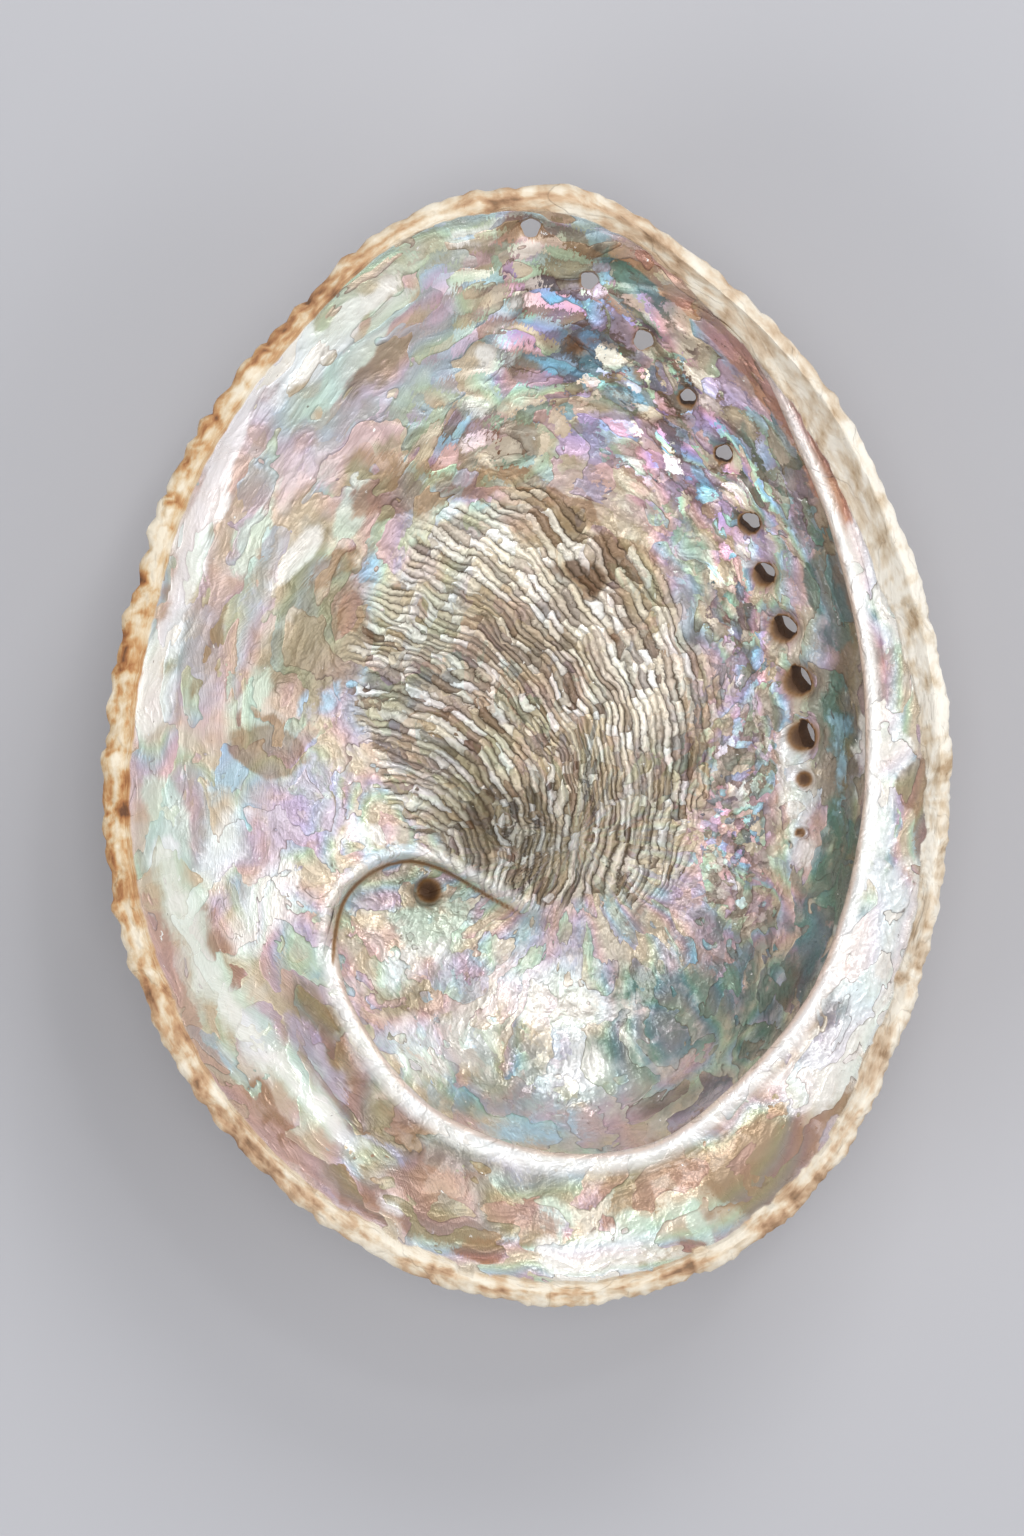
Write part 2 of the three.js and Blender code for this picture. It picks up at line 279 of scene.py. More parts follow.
def poreDents(x, y):
    # Round funnel at each pore and a shallow groove along the row
    total = -0.45 * bell(awayFrom(x, y, [pixel for pixel, _, _ in allPores], 8), 2.0)
    for pixel, radius, _ in allPores:
        px, py = at(*pixel)
        distance = np.hypot(x - px, y - py)
        total = total - pores["funnel"] * bell(distance, radius * 1.3, 4) \
            + 0.28 * bell(distance - radius * 1.8, 0.7)
    return total


def floorHeight(radius, angle):
    # The back's curve plus the wall's thickness, which shrinks to nothing at the rim, plus the curl
    x, y = fromHub(radius, angle)
    share = radius / (around(body["rimRadius"], angle) - around(body["rimWidth"], angle))
    base = curvedBack(share, angle) + body["wallThickness"] * (1 - share)
    return base + curlHeight(x, y) * (1 - smooth(share, 0.72, 0.95))


def bowlHeight(radius, angle):
    # Floor, with the wall climbing to the lip as the 2.5th power of the way there
    strength = lipStrength(angle)
    edge = around(body["lipRadius"], angle) + around(body["lipUndercut"], angle) * strength
    share = edge / (around(body["rimRadius"], angle) - around(body["rimWidth"], angle))
    wallTop = around(body["lipHeight"], angle) - body["underLipDrop"]
    atEdge = curvedBack(share, angle) + body["wallThickness"] * (1 - share)
    climb = np.clip(1 - (edge - radius) / body["wallReach"], 0, 1) ** 2.5
    return floorHeight(radius, angle) + strength * np.maximum(wallTop - atEdge, 0) * climb


def backHeight(share, angle):
    # The back's curve, lowered round the spire by its depth times exp(-(distance / reach)^2)
    x, y = fromHub(share * around(body["rimRadius"], angle), angle)
    away = np.hypot(x - apexX, y - apexY)
    return np.maximum(curvedBack(share, angle) - body["spireDepth"] * bell(away, body["spireReach"]), 0)


rimLobes = {"left": 4.2, "right": 2.0, "depth": [0.2, 0.15, 0.3, 0.6, 0.5, 0.35, 0.3, 0.3]}


def rimWave(angle):
    # Scallops whose length follows the rim: the phase is the sum of arc length over lobe length
    fine = np.linspace(0, 2 * np.pi, 4001)
    radius = around(body["rimRadius"], fine)
    lobe = mix(rimLobes["left"], rimLobes["right"], smooth(np.cos(fine + 0.5), -0.2, 0.6))
    phase = np.concatenate([[0], np.cumsum((radius / lobe)[:-1] * np.diff(fine))])
    phase *= round(phase[-1]) / phase[-1]
    here = np.interp(np.mod(angle, 2 * np.pi), fine, phase) * 2 * np.pi
    ring = np.stack([np.cos(angle), np.sin(angle), 0 * angle], -1) * 60
    uneven = noise(ring, 5, 61, 2)
    wave = np.abs(np.cos(here / 2 + 1.6 * uneven)) * 2 - 1.3
    return around(rimLobes["depth"], angle) * (wave * 0.55 + 1.3 * uneven)


def skinGrid():
    # Rings of points from the hub out over floor, lip, shelf and rim and back under to the hub:
    # radius and height as functions of the ring and the ray, with a number for each kind of ring:
    # 0 bowl, 1 lip, 2 shelf, 3 rim and 4 back
    angle = np.linspace(0, 2 * np.pi, body["rays"], endpoint=False)[None, :]
    strength = lipStrength(angle)
    lip, top = around(body["lipRadius"], angle), around(body["lipHeight"], angle)
    undercut = around(body["lipUndercut"], angle) * strength
    rim = around(body["rimRadius"], angle) + rimWave(angle)
    inner = around(body["rimRadius"], angle) + 0.3 * rimWave(angle) - around(body["rimWidth"], angle)
    rimTop = around(body["rimHeight"], angle)
    radii, heights, kinds = [], [], []

    def ring(radius, height, kind):
        radii.append(np.broadcast_to(radius, angle.shape))
        heights.append(np.broadcast_to(height, angle.shape))
        kinds.append(kind)

    edge = lip + undercut
    for i in range(1, body["floorRings"] + 1):
        radius = edge * (i / body["floorRings"]) ** 0.82
        ring(radius, bowlHeight(radius, angle), 0)
    underside = bowlHeight(edge, angle) - top
    flank = around(body["lipFlank"], angle)
    corners = [(undercut, underside), (0.35 * undercut + 0.2, -3.1), (-0.15, -1.5), (0.3, -0.4), (1.15, 0),
               (2.2, -0.4 * flank), (3.4, -1.1 * flank)]
    corners = [np.stack([np.broadcast_to(v, angle.shape) for v in corner]) for corner in corners]
    corners = [2 * corners[0] - corners[1]] + corners + [2 * corners[-1] - corners[-2]]
    count = 0
    for four in zip(corners, corners[1:], corners[2:], corners[3:]):
        for t in (0.5, 1.0):
            out, up = between(*four, t)
            count += 1
            radius = lip + mix(3.4 * count / 12, out, strength)
            ring(radius, mix(floorHeight(radius, angle), top + up, strength), 1)
    for i in range(1, body["shelfRings"] + 1):
        share = i / (body["shelfRings"] + 1)
        radius = mix(lip + 3.4, inner, share)
        trough = around(body["shelfTrough"], angle) * math.sin(math.pi * share)
        shelf = mix(top - 1.1 * flank, rimTop, share ** 0.9) - trough
        ring(radius, mix(floorHeight(radius, angle), shelf, strength), 2)
    for out, drop in body["rimSection"]:
        ring(mix(inner, rim, out), rimTop - drop, 3)
    for i in range(1, body["backRings"] + 1):
        share = (1 - i / (body["backRings"] + 1)) ** 0.8 * 0.985
        wide = around(body["rimRadius"], angle) + rimWave(angle) * share ** 10
        ring(share * wide, backHeight(share, angle), 4)
    return angle, np.array(radii)[:, 0], np.array(heights)[:, 0], np.array(kinds)


def gridNormals(points):
    # Cross product of the steps along the ring and along the ray, pointing out of the shell
    alongRing = np.roll(points, -1, 1) - np.roll(points, 1, 1)
    alongRay = np.gradient(points, axis=0)
    normal = np.cross(alongRay, alongRing)
    return normal / (np.linalg.norm(normal, axis=-1, keepdims=True) + 1e-9)


# Where the nacre breaks into small loose flakes, where its grain is combed along the rim, where the scar's
# strands run together in pairs, where it lies smooth, and where its colours run into each other: soft spots
# (pixel across and down, half length, half width, turn in degrees, strength) and bands (pixels along them,
# half width, strength)
habits = {
    "mosaic": [
        (590, 340, 120, 70, -35, 1), (690, 440, 110, 60, -50, 1), (740, 600, 90, 30, -75, 0.8),
        (740, 800, 120, 34, -88, 0.7), (450, 1030, 110, 60, 0, 0.25), (480, 430, 80, 40, 0, 0.6),
    ],
    "satin": [
        (300, 420, 260, 110, 55, 1.3), (170, 800, 260, 70, 88, 1.2), (300, 1120, 200, 80, -45, 1.2),
    ],
    "fan": [
        (400, 680, 150, 90, 80, 1),
    ],
    "calm": [
        (230, 640, 260, 70, 72, 0.8), (360, 380, 160, 60, 50, 0.7), (760, 1160, 90, 50, 32, 0.9),
        (300, 1090, 190, 50, -48, 0.7), (440, 1200, 110, 40, -18, 0.8), (560, 1080, 150, 70, 0, 0.5),
        ([(300, 320), (245, 400), (205, 490), (175, 600), (140, 690)], 22, 1),
        ([(158, 800), (178, 900), (215, 985), (270, 1060), (335, 1130)], 26, 1),
    ],
    "soft": [
        (560, 1050, 190, 100, 0, 1.2), (250, 900, 120, 60, 75, 0.6),
    ],
}


def zoneField(x, y, zone):
    # Largest of strength * exp(-0.7 d^2) over the zone's spots and bands, with d counted in half lengths and
    # half widths of the turned spot, or in half widths of the band
    field = np.zeros_like(x)
    spots = [entry for entry in zone if len(entry) == 6]
    bands = [entry for entry in zone if len(entry) == 3]
    for px, py, length, width, turn, strength in spots:
        cx, cy = at(px, py)
        c, s = math.cos(math.radians(turn)), math.sin(math.radians(turn))
        along = ((x - cx) * c + (y - cy) * s) / (length * mmPerPixel)
        across = ((y - cy) * c - (x - cx) * s) / (width * mmPerPixel)
        field = np.maximum(field, strength * np.exp(-0.7 * (along ** 2 + across ** 2)))
    for points, width, strength in bands:
        away = awayFrom(x, y, points) / (width * mmPerPixel)
        field = np.maximum(field, strength * np.exp(-0.7 * away ** 2))
    return field


def calmField(x, y):
    # 1 where the nacre lies smooth, 0 where it is crinkled
    return np.clip(zoneField(x, y, habits["calm"]), 0, 1)


# A low ridge along the shelf, in pixels of the photograph
shelfRidge = [(215, 900), (240, 960), (275, 1030), (320, 1110), (350, 1150), (400, 1190)]


def insideRelief(places, angle, share, kinds):
    # Height of the nacre's own relief: scar, plates with stepped edges, crinkles, ridge and pores
    x, y = places[..., 0], places[..., 1]
    flow = np.stack([np.cos(angle) * 32 + 0 * share, np.sin(angle) * 32 + 0 * share, share * 70], -1)
    plates = noise(flow, 9, 11, 3) * 3.2
    steps = np.floor(plates) + smooth(plates - np.floor(plates), 0.0, 0.22)
    scarHere = scarMask(x, y, places)
    open_ = (1 - scarHere) * smooth(share, 0.25, 0.5)
    crinkle = np.abs(noise(places, 3.4, 19, 3))
    lumps = noise(places, 8, 23, 2)
    relief = scarHeight(x, y, places) + open_ * 0.16 * steps + 0.34 * lumps * (1 - scarHere)
    relief += (0.28 - 0.9 * crinkle) * mix(0.4, 0.22, calmField(x, y)) * (1 - 0.6 * scarHere)
    relief += 0.55 * bell(awayFrom(x, y, shelfRidge), 1.6)
    relief += poreDents(x, y)
    relief -= 2.4 * bell(np.hypot(x - apexX - 0.3, y - apexY), 1.9, 4)
    calm = np.where(kinds[:, None] == 1, 0.35, 1.0)
    return relief * calm


def channelExit(pixel, lean):
    # Where a pore's leaning channel comes out: the first step down it that lies below the back's surface
    px, py = at(*pixel)
    outward = math.atan2(py - hubY, px - hubX)
    start = math.hypot(px - hubX, py - hubY)
    down = np.linspace(0, 14, 281)
    radius = start + down * math.tan(math.radians(lean))
    back = backHeight(radius / around(body["rimRadius"], outward), np.full(down.shape, outward))
    level = bowlHeight(np.array(start), np.array(outward))
    first = radius[np.argmax(level - down < back)]
    return hubX + first * math.cos(outward), hubY + first * math.sin(outward)


def backRelief(places, angle, share):
    # Spiral ribs crossed by growth lines, lumps of old growth, and tubercles round the pores
    x, y = places[..., 0], places[..., 1]
    radius, phase = spiralPlace(x, y)
    ribs = np.cos(80 * phase + 1.1 * noise(places, 9, 71, 2)) * smooth(radius, 6, 24)
    growth = np.sin(share * 75 + 5 * noise(places, 22, 73, 2)) * smooth(share, 0.15, 0.4)
    relief = 0.24 * ribs + 0.16 * growth + 0.55 * noise(places, 11, 79, 3)
    for pixel, size, lean in allPores:
        px, py = channelExit(pixel, lean)
        away = np.hypot(x - px, y - py)
        relief = relief + pores["tubercle"] * bell(away, size + 1.4)
    return relief * smooth(share, 0.0, 0.35)


def buildSkin():
    # Closed mesh arrays of the whole shell: grid points pushed out by their relief, quads and two end fans
    angle, radius, height, kinds = skinGrid()
    x, y = fromHub(radius, angle)
    points = np.stack([x, y, height], -1)
    share = radius / around(body["rimRadius"], angle)
    inside = kinds < 3
    relief = np.zeros_like(height)
    relief[inside] = insideRelief(points[inside], angle, share[inside], kinds[inside])
    relief[inside] *= 1 - smooth(share[inside], 0.93, 0.985)
    back = kinds == 4
    relief[back] = backRelief(points[back], angle, share[back])
    rim = kinds == 3
    relief[rim] = 0.65 * noise(points[rim], 2.6, 67, 3) * np.array([0.2, 0.5, 1, 1, 1, 1, 1])[:, None]
    points = points + gridNormals(points) * relief[..., None]
    points[..., 2] = np.maximum(points[..., 2], 0)
    rings, rays = radius.shape
    ends = np.array([[hubX, hubY, bowlHeight(np.array(0.01), np.array(0.0)) + 0.9], [hubX, hubY, 0.0]])
    verts = np.vstack([points.reshape(-1, 3), ends])
    here = np.arange(rays)
    nxt = (here + 1) % rays
    rows = np.arange(rings - 1)[:, None] * rays
    quads = np.stack([rows + here, rows + here + rays, rows + nxt + rays, rows + nxt], -1).reshape(-1, 4)
    first, last = rings * rays, rings * rays + 1
    under = (rings - 1) * rays
    caps = np.vstack([np.stack([here, nxt, np.full(rays, first)], 1),
                      np.stack([nxt + under, here + under, np.full(rays, last)], 1)])
    side = np.concatenate([np.repeat(kinds, rays), [0, 4]])
    shares = np.concatenate([share.ravel(), [0, 0]])
    return verts, quads, caps, side, shares


def fitToFrame(verts):
    # Shift and stretch that bring the points' box onto the CAD solid's box
    low, high = verts.min(0), verts.max(0)
    scale = (boxHigh - boxLow) / (high - low)
    return (verts - low) * scale + boxLow


def meshFrom(name, verts, faceSets):
    # A mesh from an array of points and arrays of faces, each array with its own number of corners
    mesh = bpy.data.meshes.new(name)
    loops = np.concatenate([faces.ravel() for faces in faceSets])
    sizes = np.concatenate([np.full(len(faces), faces.shape[1]) for faces in faceSets])
    mesh.vertices.add(len(verts))
    mesh.vertices.foreach_set("co", np.asarray(verts, np.float32).ravel())
    mesh.loops.add(len(loops))
    mesh.loops.foreach_set("vertex_index", loops.astype(np.int32))
    mesh.polygons.add(len(sizes))
    mesh.polygons.foreach_set("loop_start", (np.cumsum(sizes) - sizes).astype(np.int32))
    mesh.update(calc_edges=True)
    mesh.validate()
    return mesh


def setField(mesh, name, values, kind="FLOAT"):
    # A number or a vector at every point of the mesh, kept under this name
    data = mesh.attributes.new(name, kind, "POINT").data
    data.foreach_set("value" if kind == "FLOAT" else "vector", np.asarray(values, np.float32).ravel())


def objectFrom(name, mesh):
    # An object in the scene that shows the mesh
    thing = bpy.data.objects.new(name, mesh)
    bpy.context.scene.collection.objects.link(thing)
    return thing


def channelCutters(surface):
    # One closed rod for each open pore, between two circles whose radius is 1 + sines of the turn, slipped
    # outwards by the depth times the tangent of the pore's lean
    turn = np.linspace(0, 2 * np.pi, pores["sides"], endpoint=False)
    verts, quads, fans = [], [], []
    for number, (pixel, size, lean) in enumerate(pores["open"]):
        px, py = at(*pixel)
        outward = math.atan2(py - hubY, px - hubX)
        level = surface(math.hypot(px - hubX, py - hubY), outward)
        slope = math.tan(math.radians(lean))
        base = sum(len(v) for v in verts)
        uneven = 1 + 0.07 * np.sin(3 * turn + number) + 0.05 * np.sin(5 * turn + 2 * number)
        for down in pores["depths"]:
            slip = slope * down
            verts.append(np.stack([px + slip * math.cos(outward) + size * uneven * np.cos(turn),
                                   py + slip * math.sin(outward) + size * uneven * np.sin(turn),
                                   np.full(turn.shape, level - down)], 1))
        here = np.arange(pores["sides"])
        nxt = (here + 1) % pores["sides"]
        low = base + pores["sides"]
        quads.append(np.stack([base + here, low + here, low + nxt, base + nxt], 1))
        fans.append(np.array([base + here, low + here[::-1]]))
    return np.vstack(verts), np.vstack(quads), np.vstack(fans)


verts, quads, caps, side, shares = buildSkin()
print("skin worked out:", len(verts), "points,", 2 * len(quads) + len(caps), "triangles")
low, high = verts.min(0), verts.max(0)
skinMesh = meshFrom("shell_skin", fitToFrame(verts), [quads, caps])
for name, values in (("side", side), ("share", shares), ("made", np.ones(len(verts)))):
    setField(skinMesh, name, values)
shell = objectFrom("shell_skin", skinMesh)


def cutPores(thing):
    # Boolean difference of the skin and the channel rods, applied to the mesh
    points, quadsHere, fans = channelCutters(lambda r, a: float(bowlHeight(np.array(r), np.array(a))))
    points = (points - low) * (boxHigh - boxLow) / (high - low) + boxLow
    cutter = objectFrom("cutter", meshFrom("cutter", points, [quadsHere, fans]))
    cut = thing.modifiers.new("pores", "BOOLEAN")
    cut.operation, cut.solver, cut.object = "DIFFERENCE", "MANIFOLD", cutter
    graph = bpy.context.evaluated_depsgraph_get()
    mesh = bpy.data.meshes.new_from_object(thing.evaluated_get(graph))
    thing.modifiers.clear()
    old = thing.data
    thing.data = mesh
    bpy.data.meshes.remove(old)
    bpy.data.objects.remove(cutter)


cutPores(shell)
print("pores cut:", len(shell.data.vertices), "points,", len(shell.data.polygons), "faces")


# Painted zones of the nacre: each tone is a field that its flakes follow, laid on in the same way
zones = {
    # White: the nacre's own pearl white, partly painted highlight where the flanks, bowl and shelf face the
    # lamps
    "white": [
        (330, 330, 62, 13, 45, 0.9), (300, 372, 45, 12, 50, 0.8), (205, 508, 62, 14, 76, 1),
        (290, 560, 40, 12, 55, 0.7), (145, 700, 34, 20, 80, 0.9), (218, 850, 45, 20, 70, 0.8),
        (265, 905, 40, 22, 65, 1), (520, 560, 75, 34, -25, 0.9), (640, 685, 60, 42, -60, 1),
        (600, 620, 60, 30, -45, 0.7), (545, 1010, 60, 24, -15, 1), (445, 1050, 50, 26, 20, 0.8),
        (400, 970, 40, 22, 10, 0.5), (590, 1080, 26, 16, 0, 0.7), (885, 560, 100, 28, -80, 1),
        (878, 960, 80, 30, 75, 1), (835, 1060, 56, 28, 55, 0.9), (884, 770, 90, 18, 88, 0.8),
        (600, 1262, 60, 22, 0, 0.8), (800, 790, 62, 16, -80, 0.9), (735, 478, 12, 10, 0, 0.9),
        (752, 548, 12, 10, 0, 0.8), (620, 385, 26, 12, -35, 0.6), (392, 1208, 14, 12, -20, 0.6),
        (360, 840, 36, 16, 20, 0.6), (470, 235, 40, 14, 40, 0.5), (498, 345, 44, 20, 75, 0.7),
        ([(300, 320), (245, 400), (205, 490), (175, 600), (140, 690)], 13, 0.7),
        ([(160, 850), (190, 950), (250, 1045), (320, 1115), (352, 1146)], 15, 0.6),
    ],
    "mint": [
        (385, 310, 42, 10, 52, 1), (345, 365, 46, 11, 52, 0.9), (255, 530, 42, 12, 66, 0.9),
        (350, 500, 40, 14, 60, 0.8), (245, 700, 46, 16, 65, 0.6), (480, 402, 30, 12, 10, 0.8),
        (430, 935, 40, 30, 0, 0.7), (545, 1232, 30, 18, 60, 1), (640, 1240, 30, 16, -50, 0.7),
        (905, 652, 24, 14, 70, 0.8), (862, 1000, 34, 16, 70, 0.6), (430, 640, 60, 26, -20, 0.5),
        (480, 520, 60, 18, -20, 0.7), (668, 1192, 14, 9, 0, 1), (700, 1235, 12, 20, 0, 0.9),
        (600, 1100, 60, 30, 10, 0.4), (480, 1190, 30, 12, 10, 0.5), (690, 560, 30, 22, -40, 0.5),
        ([(158, 800), (178, 900), (215, 985), (270, 1060), (335, 1130)], 20, 0.75),
    ],
    "sky": [
        (580, 350, 32, 20, -10, 1.5), (624, 386, 24, 13, -30, 1.4), (700, 470, 16, 9, -50, 1.1),
        (226, 762, 36, 17, 70, 0.8), (242, 830, 30, 14, 70, 0.6), (318, 700, 30, 22, 40, 0.6),
        (440, 1090, 50, 26, 0, 0.5), (530, 1135, 50, 18, 5, 0.7), (792, 760, 46, 11, -82, 0.9),
        (868, 985, 40, 16, 70, 0.6), (365, 560, 36, 18, 40, 0.4), (850, 760, 60, 12, -88, 0.5),
        (700, 965, 40, 26, 30, 0.4), (385, 860, 36, 12, 12, 0.7),
    ],
    "pink": [
        (533, 242, 24, 14, 50, 0.8), (640, 436, 30, 20, -20, 0.8), (478, 252, 30, 12, 60, 0.7),
        (416, 560, 22, 16, -10, 0.9), (600, 1135, 46, 16, 10, 0.7), (880, 470, 50, 14, -65, 0.6),
        (170, 790, 46, 12, 85, 0.6), (640, 480, 34, 20, -30, 0.6), (260, 960, 40, 18, 60, 0.4),
        (455, 300, 60, 24, 45, 0.5), (350, 440, 60, 22, 50, 0.5), (690, 1085, 40, 14, 35, 0.3),
        (835, 640, 40, 14, -75, 0.3), (770, 620, 26, 12, -80, 0.5),
    ],
    "rose": [
        (365, 470, 40, 14, 30, 0.6), (300, 740, 40, 12, 60, 0.6), (640, 480, 24, 16, -40, 0.7),
        ([(148, 900), (163, 960), (192, 1030), (242, 1100), (308, 1165), (370, 1212)], 10, 0.8),
    ],
    "lilac": [
        (600, 420, 34, 22, 20, 0.8), (762, 540, 24, 16, -60, 0.9), (300, 800, 60, 40, 60, 0.7),
        (340, 700, 46, 26, 30, 0.5), (222, 900, 46, 20, 75, 0.5), (705, 480, 46, 24, -50, 0.8),
        (560, 320, 40, 22, 0, 0.6), (740, 700, 90, 22, -85, 0.5), (890, 640, 70, 16, -85, 0.4),
        (880, 860, 80, 16, 85, 0.4), (310, 1080, 50, 14, -45, 0.5), (240, 600, 50, 20, 60, 0.4),
        (690, 400, 30, 20, -40, 0.6),
        ([(285, 1020), (320, 1070), (360, 1120), (400, 1160)], 9, 0.6),
    ],
    "tan": [
        (922, 800, 60, 13, 88, 0.9), (905, 930, 50, 14, 76, 0.8), (755, 1160, 62, 40, 32, 1),
        (445, 1205, 80, 34, -18, 1), (680, 1170, 70, 26, 12, 0.8), (262, 748, 34, 22, -20, 1),
        (392, 488, 40, 22, 10, 0.9), (640, 1195, 40, 26, 10, 0.8), (345, 612, 18, 18, 0, 0.7),
        (335, 560, 46, 14, 40, 0.6), (262, 1110, 50, 9, -48, 0.4), (205, 640, 70, 16, 75, 0.5),
        (440, 470, 60, 18, -10, 0.6), (230, 960, 50, 14, -60, 0.5), (850, 1085, 60, 16, 55, 0.6),
        (720, 225, 60, 16, -35, 0.3), (330, 1045, 50, 14, -58, 0.6), (385, 1125, 60, 20, -42, 0.7),
        (560, 232, 40, 12, -20, 0.7), (560, 505, 50, 12, -30, 0.6), (665, 395, 16, 12, 0, 0.5),
        ([(450, 478), (520, 480), (590, 510), (650, 560)], 10, 0.7),
    ],
    "olive": [
        (330, 1050, 70, 20, -55, 1), (420, 1150, 60, 22, -30, 1), (325, 640, 70, 36, 70, 0.9),
        (300, 560, 60, 20, 62, 0.6), (375, 1120, 90, 20, -42, 1), (470, 1180, 60, 18, -18, 0.7),
        (240, 880, 60, 10, 75, 0.3), (420, 440, 70, 20, 0, 0.6), (372, 360, 60, 12, 50, 0.6),
        (838, 570, 90, 13, -78, 1), (852, 720, 110, 11, -88, 0.9), (846, 860, 60, 11, 84, 0.8),
        (405, 350, 50, 12, 50, 0.6), (290, 640, 50, 26, 60, 0.8), (345, 1085, 80, 24, -48, 0.9),
        (420, 1150, 60, 24, -28, 0.7), (230, 470, 40, 12, 70, 0.3), (400, 1000, 40, 26, 30, 0.5),
        (300, 700, 40, 20, 60, 0.4), (180, 560, 50, 10, 75, 0.4), (520, 362, 22, 16, 10, 0.8),
        (560, 1190, 60, 16, 5, 0.5),
    ],
    "teal": [
        (832, 600, 70, 15, -78, 0.75), (846, 720, 70, 13, -86, 0.5), (850, 830, 60, 14, 88, 0.55),
        (648, 268, 40, 18, -30, 0.8), (662, 305, 30, 16, -30, 0.6), (660, 1010, 46, 36, 20, 1),
        (720, 1010, 70, 50, 30, 0.7), (830, 910, 60, 22, 65, 0.9), (630, 1070, 40, 26, 0, 0.7),
        (560, 1140, 70, 20, 0, 0.4), (700, 560, 60, 16, -55, 0.5), (420, 925, 30, 20, 0, 0.5),
        (490, 1100, 80, 30, 0, 0.5), (735, 620, 60, 14, -75, 0.4), (760, 450, 50, 14, -60, 0.5),
    ],
    # Dusk: darker grey nacre, partly painted shade on the right wall under the lip and high in the bowl
    "dusk": [
        (590, 330, 110, 60, -30, 0.8), (690, 430, 110, 60, -50, 0.9), (745, 760, 160, 40, -88, 0.9),
        (800, 480, 120, 40, -65, 0.8), (850, 680, 160, 30, -88, 0.9), (740, 950, 90, 60, 60, 0.8),
        (480, 830, 50, 30, -20, 0.8), (560, 240, 40, 26, 0, 0.4), (700, 300, 90, 30, -35, 0.6),
        (560, 780, 90, 60, -30, 0.4), (800, 1010, 60, 40, 50, 0.7), (420, 600, 70, 20, -20, 0.3),
    ],
    # Shade: painted shade under the overhanging lip on the right wall, beside the curl and on the scar's
    # lower edge, over darker nacre
    "shade": [
        (520, 830, 70, 34, -30, 0.9), (600, 800, 50, 30, -60, 0.5), (450, 760, 60, 16, -20, 0.5),
        (840, 560, 110, 14, -80, 0.9), (852, 700, 120, 13, -88, 1), (848, 860, 70, 13, 82, 0.8),
        (800, 430, 90, 22, -62, 0.7), (365, 1105, 70, 18, -46, 0.5), (735, 345, 90, 20, -52, 0.8),
        (700, 290, 70, 16, -42, 0.7), (480, 835, 46, 22, -20, 0.8), (680, 1105, 70, 14, 22, 0.5),
        (790, 1000, 60, 16, 50, 0.7), (545, 255, 26, 14, 30, 0.6), (700, 640, 60, 10, -75, 0.4),
        ([(590, 228), (668, 284), (742, 372), (800, 470), (835, 560)], 9, 0.5),
    ],
    "rust": [
        (512, 214, 22, 15, 30, 1), (617, 634, 9, 7, -60, 0.9), (578, 572, 26, 20, -20, 1),
        (480, 1250, 30, 11, -8, 0.9), (690, 1243, 12, 8, 0, 0.9), (135, 655, 34, 9, 80, 0.7),
        (128, 915, 14, 9, 60, 0.6), (165, 600, 30, 8, 75, 0.5), (580, 255, 16, 10, 20, 0.4),
    ],
}


